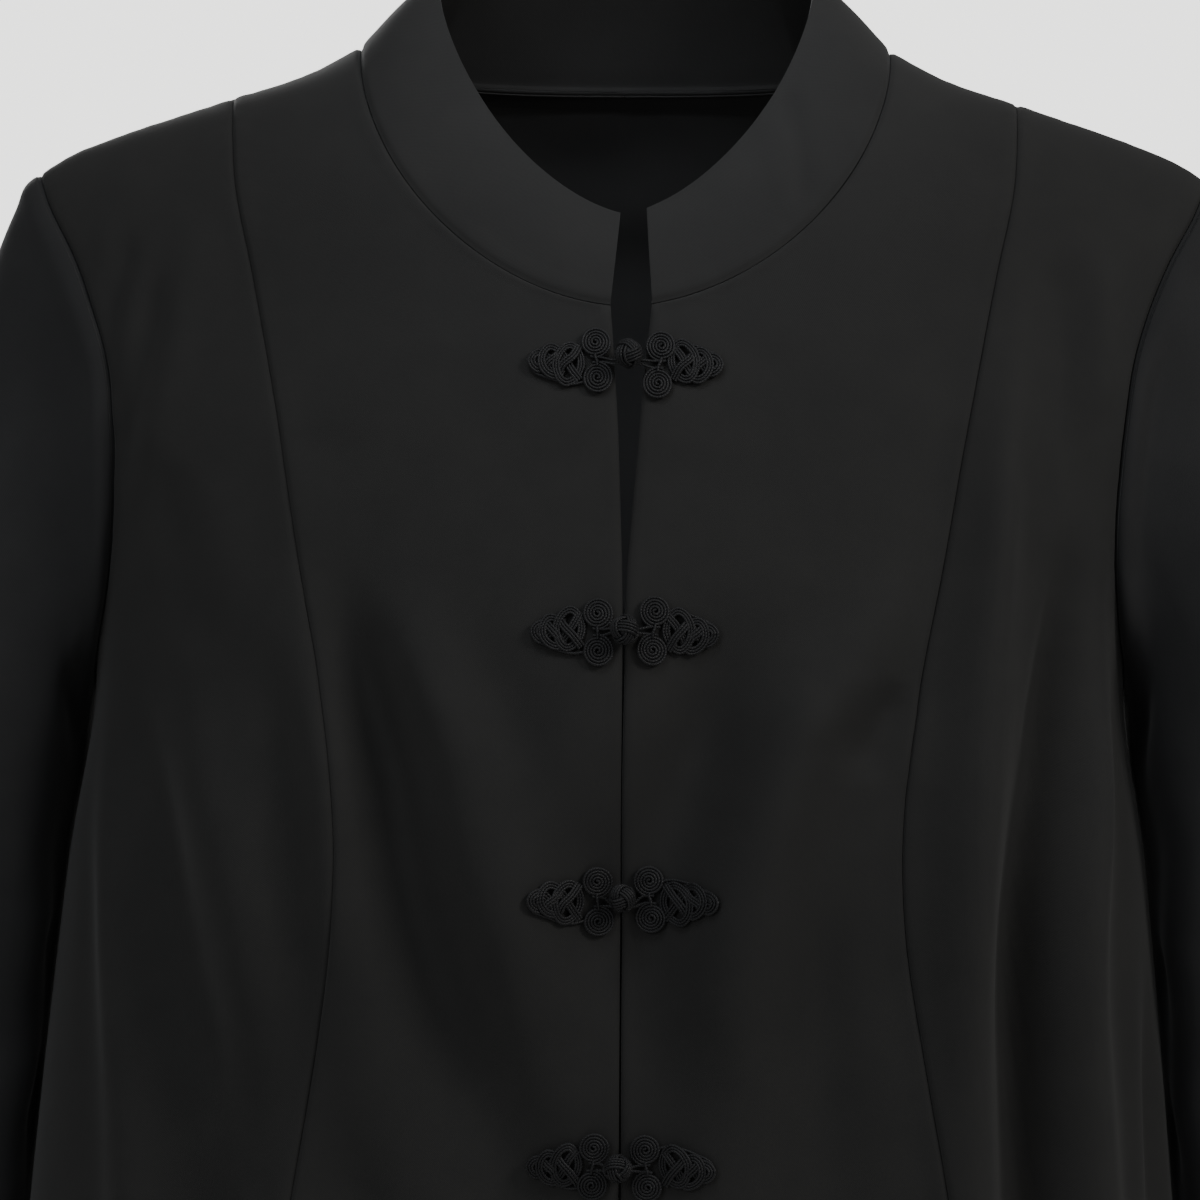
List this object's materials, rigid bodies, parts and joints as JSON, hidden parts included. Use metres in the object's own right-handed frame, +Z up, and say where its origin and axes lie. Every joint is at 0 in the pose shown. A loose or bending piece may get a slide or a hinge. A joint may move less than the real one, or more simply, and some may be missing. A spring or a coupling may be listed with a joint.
{
  "type": "tang jacket",
  "caption": "Stand-collar jacket with shaped fronts, set-in sleeves and cord frogs along the centre front opening.",
  "frame": {"origin": "the nape: the centre back point of the neck seam", "axes": "+Z up, -Y towards the front of the jacket, +X towards the wearer's left"},
  "size_m": [0.563, 0.2205, 0.6321],
  "materials": {
    "jacket_cloth": "near-black plain woven cloth, matt with a faint soft sheen",
    "frog_cord": "near-black twisted cord, a little smoother than the cloth"
  },
  "bodies": {
    "root": {"front_centre_left": "jacket_cloth", "front_centre_right": "jacket_cloth", "front_side_left": "jacket_cloth", "front_side_right": "jacket_cloth", "back": "jacket_cloth", "sleeve_left": "jacket_cloth", "sleeve_right": "jacket_cloth", "collar": "jacket_cloth", "neck_tape": "jacket_cloth", "frog_1_left": "frog_cord", "frog_1_right": "frog_cord", "frog_1_knot": "frog_cord", "frog_2_left": "frog_cord", "frog_2_right": "frog_cord", "frog_2_knot": "frog_cord", "frog_3_left": "frog_cord", "frog_3_right": "frog_cord", "frog_3_knot": "frog_cord", "frog_4_left": "frog_cord", "frog_4_right": "frog_cord", "frog_4_knot": "frog_cord", "frog_5_left": "frog_cord", "frog_5_right": "frog_cord", "frog_5_knot": "frog_cord"}
  },
  "joints": []
}
